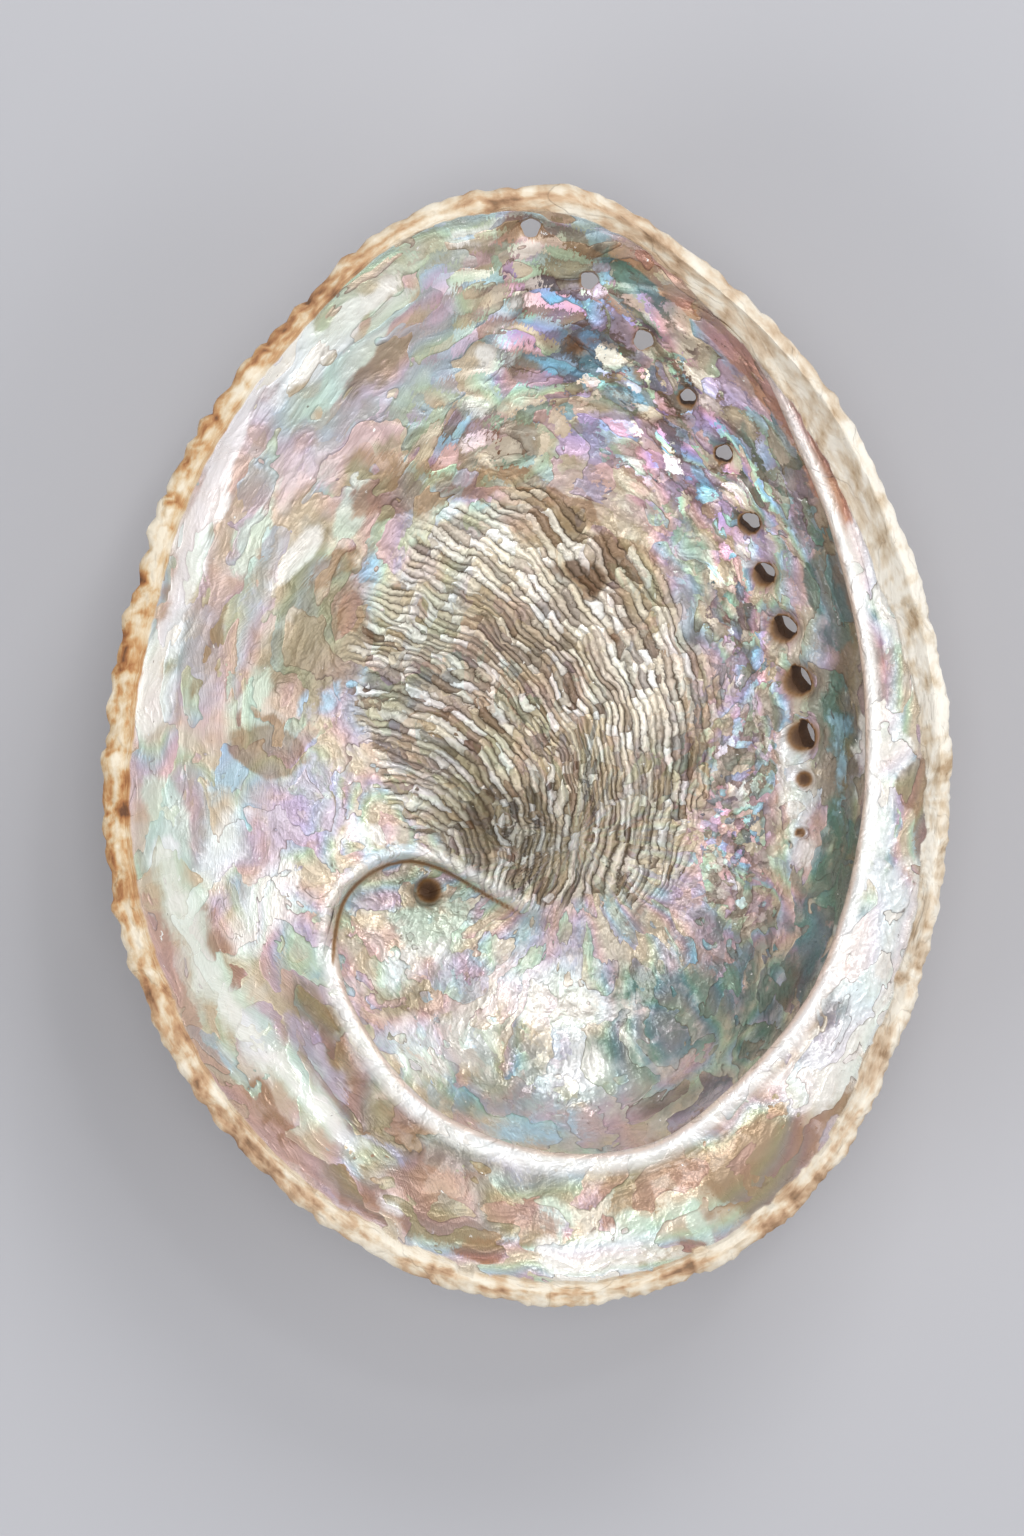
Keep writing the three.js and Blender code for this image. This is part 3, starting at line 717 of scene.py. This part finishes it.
def paintFields(mesh):
    # Point attributes for the finish, all worked out from the points' places: the zones, where crust, scar,
    # lip and channels are, brown with painted shade in the recesses, and coordinates that run along the rim
    count = len(mesh.vertices)
    places = np.zeros(count * 3, np.float32)
    mesh.vertices.foreach_get("co", places)
    places = (places.reshape(-1, 3).astype(float) - boxLow) / (boxHigh - boxLow) * (high - low) + low
    values = {}
    for name in ("side", "share", "made"):
        values[name] = np.zeros(count, np.float32)
        mesh.attributes[name].data.foreach_get("value", values[name])
    x, y = places[:, 0], places[:, 1]
    angle = np.arctan2(y - hubY, x - hubX)
    made = values["made"] > 0.5
    share = np.hypot(x - hubX, y - hubY) / around(body["rimRadius"], angle)
    share = np.where(made, values["share"], share)
    side = np.where(made, values["side"], 0)
    away = 2.4 * np.stack([noise(places, 6, seed, 5) for seed in (101, 103)], -1)
    wx, wy = x + away[:, 0], y + away[:, 1]
    inside = 1 - smooth(side, 3.2, 3.8)
    fields = {name: zoneField(wx, wy, zone) * inside for name, zone in zones.items()}
    habit = {name: np.clip(zoneField(x, y, zone), 0, 1) for name, zone in habits.items()}
    for name in ("mosaic", "fan", "calm", "soft"):
        fields[name] = habit[name] * inside
    fromRim = (1 - share) * around(body["rimRadius"], angle) + 0.7 * noise(places, 3, 157, 3)
    crustWidth = around(body["crustWidth"], angle)
    fields["crust"] = np.where(side > 2.5, 1.0, 1 - smooth(fromRim, crustWidth - 0.4, crustWidth + 0.4))
    besideCrust = smooth(fromRim, crustWidth - 0.6, crustWidth + 0.4)
    besideCrust = besideCrust * (1 - smooth(fromRim - crustWidth, 2, 4.4))
    fields["salmon"] = besideCrust * smooth(np.cos(angle - math.radians(68)), 0.93, 0.975) * inside
    fields["scar"] = np.where(side < 3, scarMask(x, y, places), 0)
    fields["brown"] = np.where(side > 3.5, 0.7, np.clip(around(body["crustBrown"], angle), 0, 1))
    beyond = np.hypot(x - hubX, y - hubY) - around(body["lipRadius"], angle)
    # Crests of the lip and the curl: painted white, partly their own pale nacre and partly painted highlight
    crest = bell(beyond - 1.0, mix(1.3, 1.8, smooth(-np.sin(angle), 0.2, 0.8)), 4)
    crest = crest * lipStrength(angle) * (side > 0.5)
    fields["lipLine"] = bell(beyond - 0.05, 0.42) * lipStrength(angle) * (side > 0.5) * inside
    besideCurl, nearest = besidePath(x, y, curlPath)
    curled = smooth(curlPath[nearest, 2], 0.7, 1.8)
    fields["lip"] = np.maximum(crest, 0.7 * curled * bell(besideCurl - 1.1, 1.0, 4)) * inside
    fields["channel"] = 1 - values["made"]
    # Brown in the spire pit, round the pores and down their channels, deeper for leaning pores and lower
    # down: partly their own brown, partly painted shade in these recesses
    spire = bell(np.hypot(x - apexX - 0.3, y - apexY), 2.0, 4) * (side < 3)
    holes = np.zeros(count)
    for pixel, radius, lean in allPores:
        px, py = at(*pixel)
        deep = mix(0.35, 1, smooth(lean, 2, 18))
        holes = np.maximum(holes, deep * bell(np.hypot(x - px, y - py), radius * 1.25, 3))
    # Painted shadow in the hollow under the curl's overhang
    curlShadow = 0.75 * curled * bell(besideCurl + 0.45, 0.4) * (side < 3)
    inChannels = fields["channel"] * mix(0.9, 0.3, smooth(y, 32, 50))
    fields["dirtAndShade"] = np.clip(np.maximum(spire, holes * (side < 3)) + inChannels + curlShadow, 0, 1)
    fields["mottle"] = 0.5 + 0.9 * noise(places, 3.2, 107, 3)
    ring = np.stack([np.cos(angle) * 60, np.sin(angle) * 60, 2.2 * fromRim], -1)
    lumps = 0.5 * noise(ring, 7, 71, 3) + 0.55 * noise(places, 2.2, 67, 3) + 0.06
    lumps += 0.16 * rimWave(angle) / around(rimLobes["depth"], angle)
    acrossCrust = fromRim / crustWidth
    lumps += fields["brown"] * (0.3 * bell(acrossCrust - 0.8, 0.16) - 0.34 * bell(acrossCrust - 0.5, 0.1))
    outside = np.stack([np.cos(angle) * 30, np.sin(angle) * 30, share * 110], -1)
    outside = 0.55 * noise(places, 6, 109, 3) + 0.55 * noise(outside, 9, 163, 3) + 0.05
    fields["knob"] = 0.5 + np.where(side < 3.5, lumps, outside)
    for name, field in fields.items():
        setField(mesh, name, field)
    flow = np.stack([38 * np.cos(angle), 38 * np.sin(angle), 70 * share + 0.4 * places[:, 2]], -1)
    flow += 2.2 * np.stack([noise(places, 7, seed, 2) for seed in (113, 127, 131)], -1)
    sway = 1.2 * np.stack([noise(places, 6, seed, 2) for seed in (137, 139, 149)], -1)
    satin = np.where(fields["crust"] > 0.3, 0.75, habit["satin"])[:, None]
    combed = np.stack([18 * np.cos(angle), 18 * np.sin(angle), 110 * share], -1)
    grain = mix(places, combed + 0.5 * away[:, [0, 1, 0]], satin)
    for name, vectors in (("flow", flow), ("sway", sway), ("grain", grain)):
        setField(mesh, name, vectors, "FLOAT_VECTOR")
    setField(mesh, "layers", noise(flow, 18, 151, 2))


paintFields(shell.data)
shell.data.polygons.foreach_set("use_smooth", np.ones(len(shell.data.polygons), bool))
shell.data.set_sharp_from_angle(angle=math.radians(55))
print("zones painted:", len(zones), "tones")


def linear(tone):
    # A tone written as red, green and blue from 0 to 255, as the linear colour that nodes use
    share = np.array(tone, float) / 255
    share = np.where(share <= 0.04045, share / 12.92, ((share + 0.055) / 1.055) ** 2.4)
    return (*share.tolist(), 1.0)


class Bench:
    # One material and short calls that add nodes to it; each gives back the socket with its result

    def __init__(self, name):
        self.material = bpy.data.materials.new(name)
        self.material.use_nodes = True
        self.tree = self.material.node_tree
        self.tree.nodes.clear()

    def node(self, kind, inputs=None, **settings):
        node = self.tree.nodes.new("ShaderNode" + kind)
        for key, value in settings.items():
            setattr(node, key, value)
        for key, value in (inputs or {}).items():
            self.feed(node.inputs[key], value)
        return node

    def feed(self, socket, value):
        if isinstance(value, bpy.types.NodeSocket):
            self.tree.links.new(value, socket)
        else:
            socket.default_value = value

    def math(self, operation, a, b=0.0, clamp=False):
        node = self.node("Math", operation=operation, use_clamp=clamp)
        for socket, value in zip(node.inputs, (a, b)):
            self.feed(socket, value)
        return node.outputs[0]

    def add(self, a, b):
        return self.math("ADD", a, b)

    def sub(self, a, b, clamp=False):
        return self.math("SUBTRACT", a, b, clamp=clamp)

    def mul(self, a, b):
        return self.math("MULTIPLY", a, b)

    def swing(self, value, size):
        # (value - 0.5) * size, for a value that swings about 0.5
        return self.mul(self.sub(value, 0.5), size)

    def vector(self, operation, a, b=(0, 0, 0)):
        node = self.node("VectorMath", operation=operation)
        self.feed(node.inputs[0], a)
        self.feed(node.inputs[1], b)
        return node.outputs["Vector"]

    def scale(self, vector, factor):
        node = self.node("VectorMath", {"Vector": vector, "Scale": factor}, operation="SCALE")
        return node.outputs["Vector"]

    def field(self, name, output="Fac"):
        return self.node("Attribute", attribute_name=name).outputs[output]

    def step(self, value, start, end):
        # Smooth step of a value from 0 at start to 1 at end
        node = self.node("MapRange", {"Value": value, "From Min": start, "From Max": end},
                         interpolation_type="SMOOTHSTEP")
        return node.outputs["Result"]

    def blend(self, share, a, b):
        # (1 - share) * a + share * b, where a and b are colours of the tree or tones
        node = self.node("Mix", data_type="RGBA")
        self.feed(node.inputs["Factor"], share)
        for place, tone in ((6, a), (7, b)):
            self.feed(node.inputs[place], linear(tone) if isinstance(tone, tuple) else tone)
        return node.outputs[2]

    def ramp(self, value, stops):
        # Straight run of colours through the stops, each a place from 0 to 1 and a tone
        node = self.node("ValToRGB", {"Fac": value})
        ramp = node.color_ramp
        while len(ramp.elements) < len(stops):
            ramp.elements.new(0.5)
        for element, (place, tone) in zip(ramp.elements, stops):
            element.position = place
            element.color = linear(tone)
        return node.outputs["Color"]

    def noise(self, vector, scale, detail, rough=0.55):
        inputs = {"Vector": vector, "Scale": scale, "Detail": detail, "Roughness": rough}
        return self.node("TexNoise", inputs).outputs["Fac"]

    def parts(self, colour):
        return self.node("SeparateColor", {"Color": colour}).outputs[:3]


tones = {
    "silver": (205, 197, 184), "cream": (222, 213, 198), "white": (250, 249, 246), "mint": (210, 226, 212),
    "sky": (176, 212, 232), "pink": (220, 190, 198), "lilac": (198, 186, 214), "tan": (150, 117, 80),
    "rose": (190, 160, 144), "olive": (140, 126, 94), "teal": (78, 118, 108), "dusk": (132, 121, 112),
    "rust": (160, 112, 70), "sand": (200, 182, 156), "shade": (88, 80, 62), "umber": (84, 60, 40),
    "salmon": (198, 150, 116), "stain": (104, 72, 40), "groove": (84, 66, 42), "lipLine": (222, 172, 138),
    "dirtAndShade": (150, 110, 66), "deepDirtAndShade": (84, 54, 28),
}
ramps = {
    "film": [(0.0, tones["cream"]), (0.2, (228, 192, 204)), (0.36, (188, 172, 216)), (0.52, (158, 204, 232)),
             (0.68, (186, 226, 204)), (0.84, tones["cream"]), (1.0, tones["cream"])],
    "scar": [(0.0, (96, 78, 52)), (0.16, (156, 134, 98)), (0.42, (202, 184, 148)), (0.72, (234, 226, 204)),
             (1.0, (255, 254, 248))],
    "weathered": [(0.24, (96, 58, 30)), (0.38, (158, 102, 54)), (0.5, (190, 144, 94)), (0.6, (208, 182, 144)),
                  (0.78, (230, 218, 196))],
    "pale": [(0.28, (176, 150, 118)), (0.4, (208, 192, 166)), (0.52, (224, 213, 194)),
             (0.66, (240, 234, 222))],
}
finish = {
    "plates": 0.08,  # scales of the noises, per millimetre
    "flakes": 0.42,
    "creases": 0.34,
    "grain": 1.1,
    "plateSteps": 9.0,
    "zones": [("dusk", 0, 0.8), ("shade", 0, 0.9), ("olive", 1, 0.8), ("teal", 2, 0.8), ("lilac", 1, 0.7),
              ("rose", 2, 0.85), ("pink", 2, 0.7), ("mint", 1, 0.8), ("sky", 0, 0.8), ("tan", 2, 0.8),
              ("white", 1, 0.8), ("salmon", 1, 0.85), ("rust", 0, 0.75)],  # tone, which chance, most of it
    "crisp": ("tan", "rose"),  # zones with a sharp edge
    "strands": 36.0,  # across the scar, per unit of ln(r)
    "joinRadius": 31,  # within this many millimetres, and each half of it, strands join in pairs
    "scales": 12.0,  # along the strands, per radian
    "bump": 0.7,
    "bumpDepth": 0.0005,
    "metal": 0.3,
    "coat": 0.45,
    "coatRough": 0.1,
    "ior": 1.6,
}


def shellFinish():
    # Nacre, scar, lip, brown and painted shade in the recesses, and crust, each laid over the last by its
    # field and its own chance numbers
    b = Bench("nacre_and_crust")
    here = b.scale(b.node("TexCoord").outputs["Object"], 1000.0)
    flow = b.field("flow", "Vector")
    mottle = b.field("mottle")
    mosaic = b.field("mosaic")
    rough = b.sub(1.0, b.mul(b.field("calm"), 0.75))

    # Plates: ragged terraces of one noise, each step with its own chances; small cells are loose flakes
    terrace = b.mul(b.noise(flow, finish["plates"], 4.0, 0.5), finish["plateSteps"])
    edge = b.math("FRACT", terrace)
    plate = b.node("TexWhiteNoise", {"W": b.math("FLOOR", terrace)}, noise_dimensions="1D").outputs["Color"]
    chances = b.parts(plate)
    fine = b.noise(b.field("grain", "Vector"), finish["grain"], 3.0, 0.62)
    warped = b.vector("ADD", flow, b.scale((2.6, -2.1, 3.0), fine))
    small = b.node("TexVoronoi", {"Vector": warped, "Scale": finish["flakes"]}, feature="F1")
    chanceD, chanceE, chanceF = b.parts(small.outputs["Color"])
    ridged = {"Vector": flow, "Scale": finish["creases"], "Detail": 2.0, "Roughness": 0.5, "Gain": 2.0,
              "Offset": 1.0}
    crease = b.node("TexNoise", ridged, noise_type="RIDGED_MULTIFRACTAL", normalize=True).outputs["Fac"]

    # Ground of the nacre: sand to silver, with the film's own colours drifting from plate to plate
    drift = b.add(b.mul(b.field("layers"), 1.5), b.mul(chances[0], 0.55))
    drift = b.add(drift, b.mul(b.mul(chanceD, mosaic), 1.2))
    film = b.ramp(b.math("FRACT", drift), ramps["film"])
    colour = b.blend(b.step(mottle, 0.25, 0.75), tones["sand"], tones["silver"])
    shimmer = b.add(0.2, b.mul(chanceE, b.add(0.3, b.mul(mosaic, 0.35))))
    colour = b.blend(b.mul(shimmer, b.add(0.3, b.mul(rough, 0.7))), colour, film)

    # Zones: the field decides, pushed up or down by the plate's and the flake's chance numbers
    wild = b.add(b.swing(mottle, 0.35), b.swing(fine, 0.25))
    wild = b.add(wild, b.swing(chanceD, b.add(0.12, b.mul(mosaic, 0.5))))
    wild = b.mul(wild, b.add(0.35, b.mul(rough, 0.65)))
    softStart = b.sub(0.34, b.mul(b.field("soft"), 0.28))
    softEnd = b.add(0.58, b.mul(b.field("soft"), 0.1))
    for name, number, most in finish["zones"]:
        reach = b.add(b.add(b.field(name), wild), b.swing(chances[number], 0.35))
        start, end = (0.32, 0.48) if name in finish["crisp"] else (softStart, softEnd)
        colour = b.blend(b.mul(b.step(reach, start, end), most), colour, tones[name])

    # Crinkles: painted shade in the folds and painted highlight on the crests of the fine noise that also
    # bumps the surface; then painted glints, film, painted sheen of loose flakes and painted shade
    crinkle = b.mul(b.sub(b.step(fine, 0.3, 0.68), 0.6), b.mul(rough, 0.2))
    colour = b.scale(colour, b.add(1.0, crinkle))
    # Painted glints: some loose flakes in the mosaic turned white or to the film's colours
    glint = b.mul(b.step(chanceF, 0.5, 0.8), mosaic)
    colour = b.blend(b.mul(glint, 0.8), colour, b.blend(b.step(chanceE, 0.6, 1.0), film, tones["white"]))
    colour = b.blend(0.14, colour, film)
    # Painted sheen and shade: each loose flake in the mosaic lighter or darker by its chance, as if it caught
    # the light differently
    flakeSheen = b.add(1.0, b.mul(b.sub(chanceF, 0.45), b.mul(mosaic, 1.3)))
    colour = b.scale(colour, b.math("MAXIMUM", flakeSheen, 0.3))
    # Painted shade: darker by up to 30 percent where the shade zone lies
    colour = b.scale(colour, b.sub(1.0, b.mul(b.field("shade"), 0.3)))

    # Muscle scar: strands along the spiral about the spire, joining in pairs towards it: their number is
    # strands * (ln(r) - pitch * turn) * 0.5 ^ joins, and each is broken into scales with their own tone
    centre = b.vector("SUBTRACT", b.vector("ADD", here, b.field("sway", "Vector")), (apexX, apexY, 0.0))
    sx, sy, _ = b.node("SeparateXYZ", {"Vector": centre}).outputs
    radius = b.math("SQRT", b.add(b.mul(sx, sx), b.mul(sy, sy)))
    logRadius = b.math("LOGARITHM", b.add(radius, 0.5), math.e)
    turn = b.math("ARCTAN2", sy, sx)
    joins = b.sub(b.add(math.log(finish["joinRadius"]), b.swing(mottle, 0.5)), logRadius)
    joins = b.math("MAXIMUM", b.math("CEIL", b.math("DIVIDE", joins, math.log(2))), 0.0)
    joined = b.math("POWER", 0.5, joins)
    across = b.mul(b.sub(logRadius, b.mul(turn, body["spiralPitch"])), finish["strands"])
    across = b.add(b.mul(across, joined), b.add(b.mul(fine, 0.7), b.mul(mottle, 0.8)))
    strand = b.math("FLOOR", across)
    own = b.node("TexWhiteNoise", {"W": strand}, noise_dimensions="1D").outputs["Value"]
    along = b.mul(b.mul(b.add(turn, b.mul(logRadius, body["spiralPitch"])), finish["scales"]), joined)
    along = b.add(b.add(along, b.mul(own, 9.0)), b.mul(mottle, 1.5))
    scalePlace = b.node("CombineXYZ", {"X": strand, "Y": b.math("FLOOR", along), "Z": 0.0}).outputs[0]
    scaleChance = b.node("TexWhiteNoise", {"Vector": scalePlace}, noise_dimensions="2D").outputs["Color"]
    chanceG, chanceH, chanceI = b.parts(scaleChance)
    crown = b.math("SINE", b.mul(b.math("FRACT", across), math.pi))
    ends = b.math("SINE", b.mul(b.math("FRACT", along), math.pi))
    scaleDome = b.mul(b.math("POWER", crown, 0.6), b.add(0.55, b.mul(b.math("POWER", ends, 0.5), 0.45)))
    scaleDome = b.mul(scaleDome, b.add(0.6, b.mul(chanceH, 0.6)))
    scarTone = b.blend(0.42, b.ramp(chanceG, ramps["scar"]), colour)
    # Scar lighter in the white zone, partly painted highlight, and darker under the painted shade of the
    # shade zone
    scarSheenAndShade = b.mul(b.sub(b.field("white"), b.field("shade")), 0.28)
    scarTone = b.scale(scarTone, b.add(0.9, scarSheenAndShade))
    stain = b.step(b.mul(b.field("rust"), b.add(mottle, chanceH)), 0.4, 0.75)
    stain = b.math("MAXIMUM", b.mul(stain, 0.8), b.mul(b.math("GREATER_THAN", chanceI, 0.95), 0.6))
    scarTone = b.blend(stain, scarTone, tones["stain"])
    paired = b.mul(b.field("fan"), b.math("MODULO", b.math("ABSOLUTE", strand), 2.0))
    # Darker grooves between the scales, where their relief is low: partly their own dark colour, partly
    # painted shade
    groove = b.mul(b.sub(1.0, b.step(scaleDome, 0.15, 0.58)), b.sub(1.0, b.mul(paired, 0.8)))
    groove = b.mul(groove, b.step(b.add(mottle, b.mul(own, 0.5)), 0.35, 0.8))
    scarTone = b.blend(b.mul(groove, 0.85), scarTone, tones["groove"])
    scarHere = b.step(b.add(b.field("scar"), b.swing(chanceI, 0.4)), 0.3, 0.6)
    colour = b.blend(scarHere, colour, scarTone)

    # Thin cracks at some edges of plates and flakes, light dots that are painted glints, and dark specks
    crack = b.mul(b.sub(1.0, b.step(edge, 0.0, 0.07)), b.step(mottle, 0.36, 0.5))
    flakeEdge = b.mul(b.step(small.outputs["Distance"], 0.48, 0.72), mosaic)
    crack = b.mul(b.math("MAXIMUM", b.mul(crack, rough), flakeEdge), b.sub(1.0, scarHere))
    colour = b.blend(b.mul(crack, 0.7), colour, tones["umber"])
    rich = b.add(1.08, b.mul(mosaic, 0.32))
    colour = b.node("HueSaturation", {"Color": colour, "Saturation": rich}).outputs["Color"]
    colour = b.node("Gamma", {"Color": colour, "Gamma": 1.15}).outputs["Color"]
    colour = b.scale(colour, 1.08)
    dot = b.math("LESS_THAN", small.outputs["Distance"], 0.07)
    # Painted glints: white dots on some flakes
    colour = b.blend(b.mul(dot, b.math("LESS_THAN", chanceF, 0.3)), colour, tones["white"])
    speck = b.mul(dot, b.math("GREATER_THAN", chanceF, 0.55))
    colour = b.blend(b.mul(speck, 0.7), colour, tones["umber"])

    # The lip's bright edge, partly painted highlight; brown in pores, channels and pit, partly painted shade
    # in these recesses, and painted shadow in the hollow under the curl
    # The lip's crest: partly its own pale nacre, partly painted highlight
    colour = b.blend(b.mul(b.field("lip"), 0.8), colour, tones["white"])
    colour = b.blend(b.mul(b.field("lipLine"), 0.5), colour, tones["lipLine"])
    dirtAndShade = b.field("dirtAndShade")
    dirtAndShadeTone = b.blend(b.step(dirtAndShade, 0.5, 1.0), tones["dirtAndShade"], tones["deepDirtAndShade"])
    colour = b.blend(b.step(dirtAndShade, 0.15, 0.7), colour, dirtAndShadeTone)

    # Crust of the rim and outside: cream knobs, tan hollows with rust
    knob = b.add(b.mul(b.field("knob"), 0.52), b.mul(fine, 0.5))
    crustTone = b.blend(b.field("brown"), b.ramp(knob, ramps["pale"]), b.ramp(knob, ramps["weathered"]))
    crust = b.step(b.add(b.field("crust"), b.swing(fine, 0.5)), 0.35, 0.6)
    crust = b.mul(crust, b.sub(1.0, b.field("channel")))
    colour = b.blend(crust, colour, crustTone)

    # Relief: stepped plates, scales of the scar, fine crinkle everywhere; flakes lie a little askew
    inner = b.sub(1.0, crust)
    steps = b.mul(b.add(b.math("FLOOR", terrace), b.step(edge, 0.0, 0.12)), 0.4)
    height = b.mul(steps, b.sub(1.0, b.field("scar")))
    height = b.sub(height, b.mul(crease, b.sub(0.6, b.mul(b.field("scar"), 0.5))))
    height = b.add(b.mul(height, rough), b.mul(scaleDome, b.mul(b.field("scar"), 2.0)))
    height = b.add(height, b.mul(fine, b.mul(b.add(rough, 0.25), 0.4)))
    bump = b.node("Bump", {"Height": height, "Strength": finish["bump"], "Distance": finish["bumpDepth"]})
    askew = b.vector("SUBTRACT", small.outputs["Color"], (0.5, 0.5, 0.5))
    askew = b.scale(askew, b.mul(inner, b.add(0.06, b.mul(mosaic, 0.3))))
    normal = b.vector("NORMALIZE", b.vector("ADD", bump.outputs["Normal"], askew))
    roughness = b.node("Mix", {"Factor": crust, 2: b.add(0.2, b.mul(mottle, 0.2)), 3: 0.8},
                       data_type="FLOAT").outputs[0]
    roughness = b.math("MAXIMUM", roughness, b.mul(dirtAndShade, 0.8))
    bright = b.sub(inner, b.step(dirtAndShade, 0.2, 0.6), clamp=True)
    metal, coat = b.mul(bright, finish["metal"]), b.mul(bright, finish["coat"])
    surface = b.node("BsdfPrincipled", {"Base Color": colour, "Roughness": roughness, "Normal": normal,
                                        "Metallic": metal, "Coat Weight": coat, "IOR": finish["ior"],
                                        "Coat Roughness": finish["coatRough"]})
    b.feed(b.node("OutputMaterial").inputs["Surface"], surface.outputs[0])
    return b.material


shell.data.materials.clear()
shell.data.materials.append(shellFinish())
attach(shell, "root")
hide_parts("shell")
print("shell finished")

studio = {
    "floorSize": 3.0,
    "floorTones": [(180, 180, 184), (176, 176, 181)],
    "world": 0.5,
    "lens": 200,
    "away": 1.2158,
    "lights": {
        "key": {"at": (0.3, 0.75, 0.8), "size": 0.5, "power": 4.8},
        "right": {"at": (0.9, -0.25, 0.75), "size": 0.8, "power": 4.0},
        "left": {"at": (-0.75, -0.45, 0.8), "size": 0.6, "power": 3.4},
        "above": {"at": (0.0, -0.05, 1.6), "size": 0.45, "power": 4.8},
        "spark": {"at": (0.3, 0.4, 1.2), "size": 0.1, "power": 0.8},
    },
}


def studioFloor():
    # A plain square at the height that the shell's back rests on
    half = studio["floorSize"] / 2
    corners = np.array([[-half, -half, 0], [half, -half, 0], [half, half, 0], [-half, half, 0]])
    floor = objectFrom("studio_floor", meshFrom("studio_floor", corners, [np.array([[0, 1, 2, 3]])]))
    b = Bench("studio_floor")
    place = b.node("TexCoord").outputs["Object"]
    tone = b.blend(b.noise(place, 3.0, 2.0), *studio["floorTones"])
    surface = b.node("BsdfPrincipled", {"Base Color": tone, "Roughness": 0.7})
    b.feed(b.node("OutputMaterial").inputs["Surface"], surface.outputs[0])
    floor.data.materials.append(b.material)


def studioLights():
    # Square area lights turned to the shell: pitch atan(level distance / drop), heading atan(y / x) - 90
    for name, light in studio["lights"].items():
        lamp = bpy.data.lights.new(name, "AREA")
        lamp.shape, lamp.size, lamp.energy = "SQUARE", light["size"], light["power"]
        thing = objectFrom(name, lamp)
        place = np.array(light["at"])
        thing.location = place
        aim = np.array([0, 0, 0.02]) - place
        thing.rotation_euler = (math.atan2(math.hypot(aim[0], aim[1]), -aim[2]), 0,
                                math.atan2(aim[1], aim[0]) - math.pi / 2)
    world = bpy.data.worlds.new("studio")
    world.use_nodes = True
    world.node_tree.nodes["Background"].inputs["Color"].default_value = (0.95, 0.97, 1.0, 1)
    world.node_tree.nodes["Background"].inputs["Strength"].default_value = studio["world"]
    bpy.context.scene.world = world


def studioCamera():
    # Straight above the middle of the photograph's frame, at the same distance as its width asks
    camera = bpy.data.cameras.new("camera")
    camera.lens, camera.sensor_width, camera.sensor_fit = studio["lens"], 36, "AUTO"
    thing = objectFrom("camera", camera)
    x, y = at(photo["size"][0] / 2, photo["size"][1] / 2)
    thing.location = (x * 0.001, y * 0.001, boxHigh[2] + studio["away"])
    bpy.context.scene.camera = thing


studioFloor()
studioLights()
studioCamera()
bpy.context.scene.view_settings.view_transform = "Standard"
